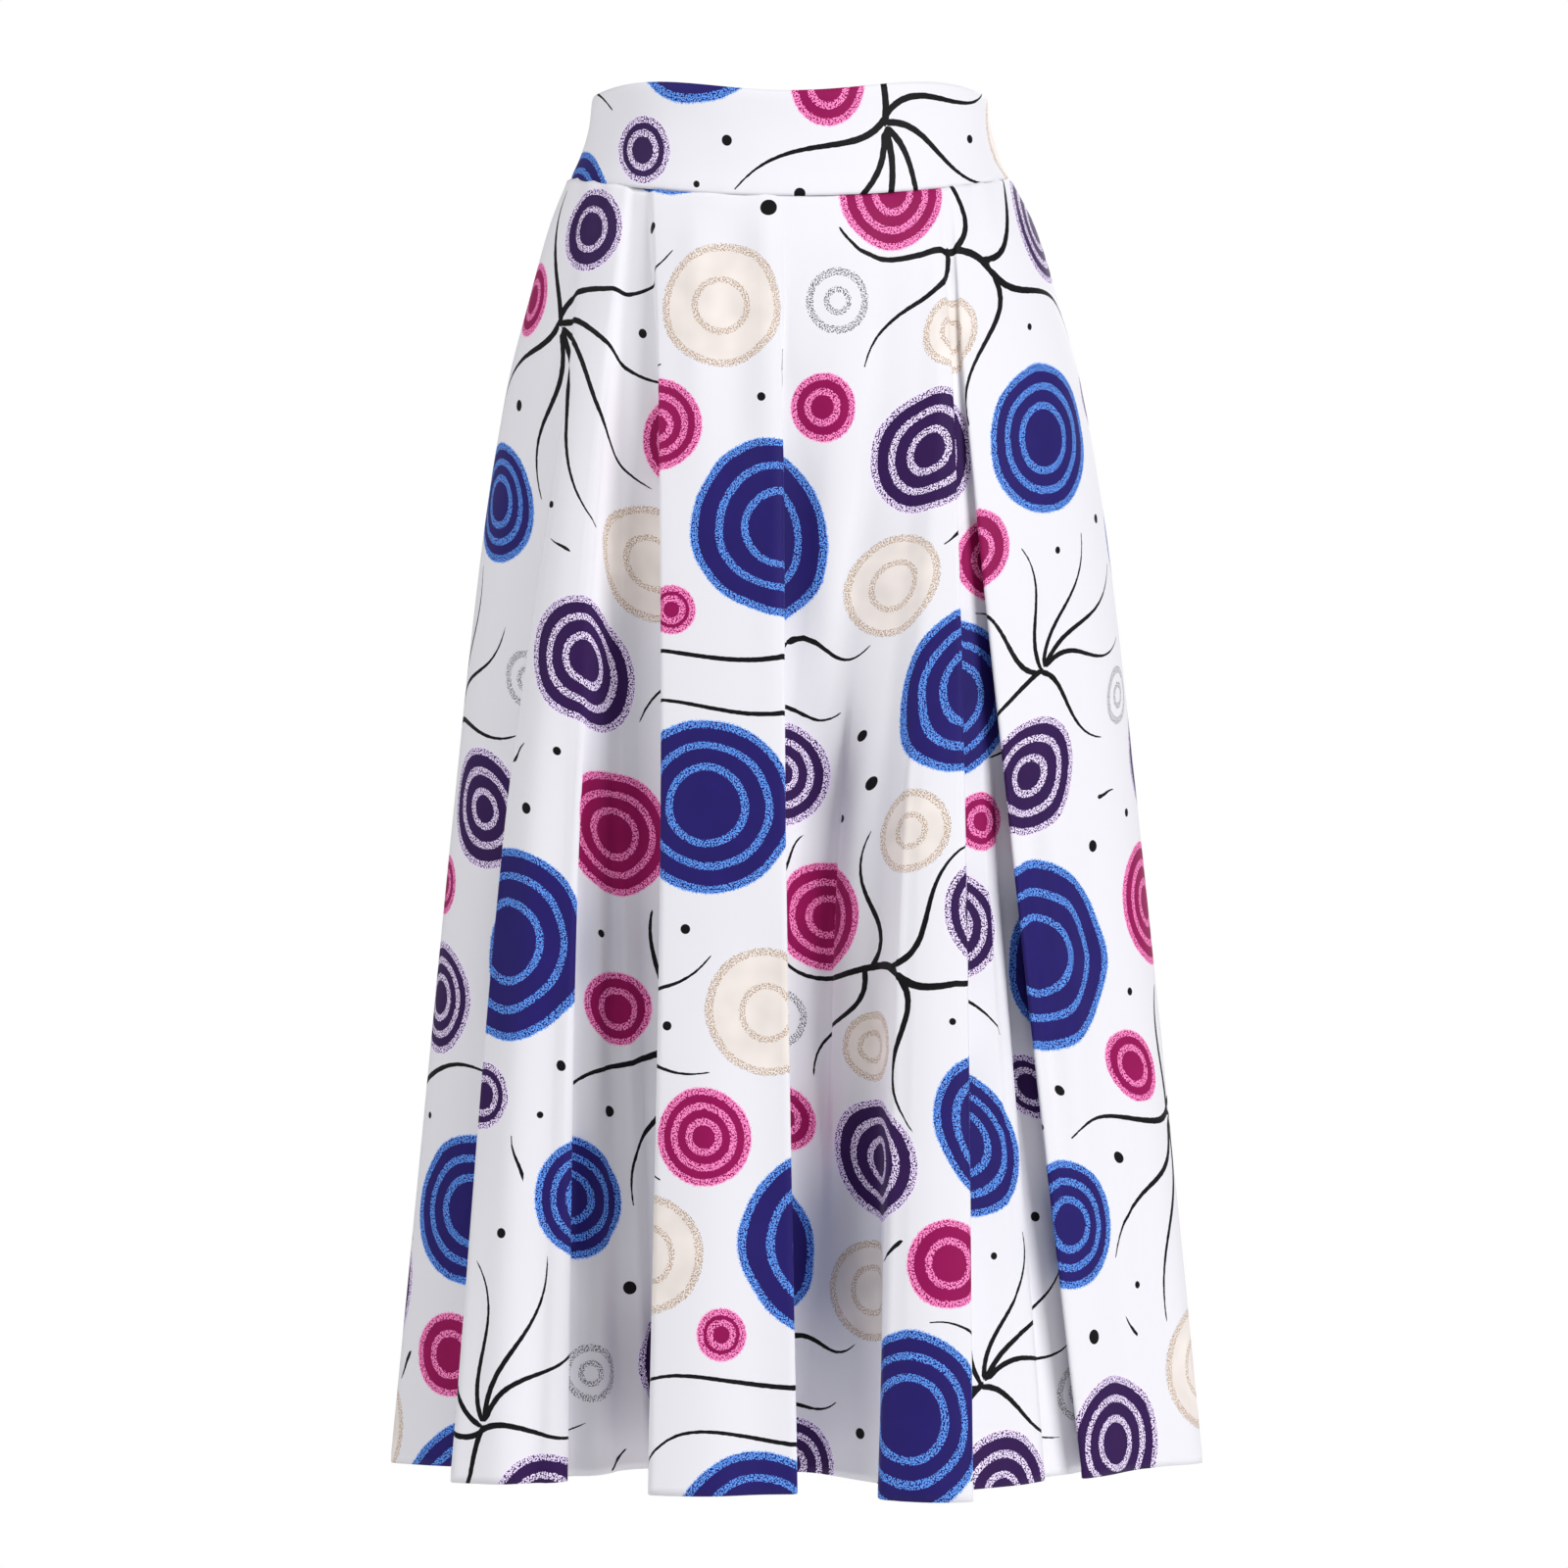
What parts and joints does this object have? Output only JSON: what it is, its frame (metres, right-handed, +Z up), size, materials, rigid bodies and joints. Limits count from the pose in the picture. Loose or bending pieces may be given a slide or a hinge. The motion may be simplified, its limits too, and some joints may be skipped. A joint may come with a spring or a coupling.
{
  "type": "maxi skirt",
  "caption": "High-waisted A-line maxi skirt with a wide fitted waistband and deep pleats that open into soft rolls at the hem, filled out as if worn.",
  "frame": {"origin": "centre of the waist, level with the top of the waistband, where a waist holds the skirt", "axes": "+Z up, the front of the skirt faces -Y, +X is the right side as seen from the front"},
  "size_m": [0.546, 0.3477, 0.9244],
  "materials": {
    "band_cloth": "smooth firm polyester with a soft sheen, white with printed discs and twigs",
    "skirt_cloth": "smooth firm polyester with a soft sheen, white with printed discs and twigs"
  },
  "bodies": {
    "root": {"waistband_front": "band_cloth", "waistband_back": "band_cloth", "skirt_front": "skirt_cloth", "skirt_back": "skirt_cloth"}
  },
  "joints": []
}
